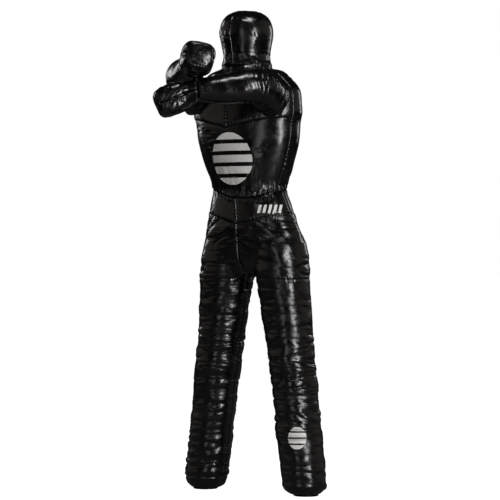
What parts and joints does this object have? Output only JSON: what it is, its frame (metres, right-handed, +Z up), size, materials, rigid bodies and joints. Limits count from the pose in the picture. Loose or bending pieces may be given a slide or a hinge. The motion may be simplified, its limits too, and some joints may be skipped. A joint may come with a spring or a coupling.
{
  "type": "grappling dummy",
  "caption": "Life-size stuffed leather dummy for grappling and throwing practice, standing on straight splayed legs with both arms crossed in front of its chest.",
  "frame": {"origin": "on the floor, under the middle of the whole figure's bounding box, arms included; the body itself stands 174 mm behind it", "axes": "+Z up along the figure; the figure faces -Y and its left side is towards +X"},
  "size_m": [0.6098, 0.6212, 1.771],
  "materials": {
    "hide": "gloss",
    "stuffing": "matte",
    "sole": "satin"
  },
  "bodies": {
    "pelvis": {"pelvis_fill": "stuffing", "yoke_front_left_panel": "hide", "yoke_back_left_panel": "hide", "yoke_front_right_panel": "hide", "yoke_back_right_panel": "hide"},
    "torso": {"torso_fill": "stuffing", "chest_left_panel": "hide", "chest_right_panel": "hide", "belly_panel": "hide", "back_left_panel": "hide", "back_right_panel": "hide"},
    "head": {"head_fill": "stuffing", "head_left_panel": "hide", "head_right_panel": "hide"},
    "left_thigh": {"left_thigh_fill": "stuffing", "left_hip_front_panel": "hide", "left_hip_back_panel": "hide", "left_leg_front_panel": "hide", "left_leg_back_panel": "hide"},
    "left_shin": {"left_shin_fill": "stuffing", "left_sole": "sole"},
    "left_upper_arm": {"left_upper_arm_fill": "stuffing", "left_upper_arm_cover": "hide", "left_armhole_welt": "hide"},
    "left_forearm": {"left_forearm_fill": "stuffing", "left_forearm_cover": "hide", "left_wrist_welt": "hide"},
    "left_mitt": {"left_mitt_fill": "stuffing", "left_mitt_back_panel": "hide", "left_mitt_palm_panel": "hide", "left_mitt_end_panel": "hide"},
    "right_thigh": {"right_thigh_fill": "stuffing", "right_hip_front_panel": "hide", "right_hip_back_panel": "hide", "right_leg_front_panel": "hide", "right_leg_back_panel": "hide"},
    "right_shin": {"right_shin_fill": "stuffing", "right_sole": "sole"},
    "right_upper_arm": {"right_upper_arm_fill": "stuffing", "right_upper_arm_cover": "hide", "right_armhole_welt": "hide"},
    "right_forearm": {"right_forearm_fill": "stuffing", "right_forearm_cover": "hide", "right_wrist_welt": "hide"},
    "right_mitt": {"right_mitt_fill": "stuffing", "right_mitt_back_panel": "hide", "right_mitt_palm_panel": "hide", "right_mitt_end_panel": "hide"}
  },
  "joints": [
    {"name": "waist_bend", "type": "hinge", "parent": "pelvis", "child": "torso", "pos_m": [-0.024, 0.1742, 1.104], "axis": [1, 0, 0], "range_deg": [-15, 30], "deforming": ["belly_panel", "back_left_panel", "back_right_panel", "yoke_front_left_panel", "yoke_front_right_panel", "yoke_back_left_panel", "yoke_back_right_panel"]},
    {"name": "neck_nod", "type": "hinge", "parent": "torso", "child": "head", "pos_m": [-0.039, 0.1742, 1.59], "axis": [1, 0, 0], "range_deg": [-20, 25], "deforming": ["head_left_panel", "head_right_panel"]},
    {"name": "left_shoulder_swing", "type": "hinge", "parent": "torso", "child": "left_upper_arm", "pos_m": [0.14, 0.1322, 1.421], "axis": [0, 0, 1], "range_deg": [0, 17], "deforming": ["left_upper_arm_cover", "left_armhole_welt"]},
    {"name": "left_elbow_bend", "type": "hinge", "parent": "left_upper_arm", "child": "left_forearm", "pos_m": [0.141, 0.0052, 1.471], "axis": [0, 0, 1], "range_deg": [0, 35], "deforming": ["left_forearm_cover"]},
    {"name": "left_wrist_bend", "type": "hinge", "parent": "left_forearm", "child": "left_mitt", "pos_m": [-0.00351, -0.16696, 1.46089], "axis": [0, 0, 1], "range_deg": [-15, 20], "deforming": ["left_mitt_back_panel", "left_mitt_palm_panel"]},
    {"name": "left_hip_bend", "type": "hinge", "parent": "pelvis", "child": "left_thigh", "pos_m": [0.118, 0.1742, 0.88], "axis": [-1, 0, 0], "range_deg": [-20, 60], "deforming": ["left_hip_front_panel", "left_hip_back_panel"]},
    {"name": "left_knee_bend", "type": "hinge", "parent": "left_thigh", "child": "left_shin", "pos_m": [0.17213, 0.1742, 0.45846], "axis": [1, 0, 0], "range_deg": [0, 35], "deforming": ["left_leg_front_panel", "left_leg_back_panel"]},
    {"name": "right_shoulder_swing", "type": "hinge", "parent": "torso", "child": "right_upper_arm", "pos_m": [-0.208, 0.1322, 1.421], "axis": [0, 0, -1], "range_deg": [0, 17], "deforming": ["right_upper_arm_cover", "right_armhole_welt"]},
    {"name": "right_elbow_bend", "type": "hinge", "parent": "right_upper_arm", "child": "right_forearm", "pos_m": [-0.209, 0.0062, 1.512], "axis": [0, 0, -1], "range_deg": [0, 35], "deforming": ["right_forearm_cover"]},
    {"name": "right_wrist_bend", "type": "hinge", "parent": "right_forearm", "child": "right_mitt", "pos_m": [-0.04306, -0.13995, 1.5536], "axis": [0, 0, -1], "range_deg": [-15, 20], "deforming": ["right_mitt_back_panel", "right_mitt_palm_panel"]},
    {"name": "right_hip_bend", "type": "hinge", "parent": "pelvis", "child": "right_thigh", "pos_m": [-0.118, 0.1742, 0.88], "axis": [-1, 0, 0], "range_deg": [-20, 60], "deforming": ["right_hip_front_panel", "right_hip_back_panel"]},
    {"name": "right_knee_bend", "type": "hinge", "parent": "right_thigh", "child": "right_shin", "pos_m": [-0.17213, 0.1742, 0.45846], "axis": [1, 0, 0], "range_deg": [0, 35], "deforming": ["right_leg_front_panel", "right_leg_back_panel"]}
  ]
}
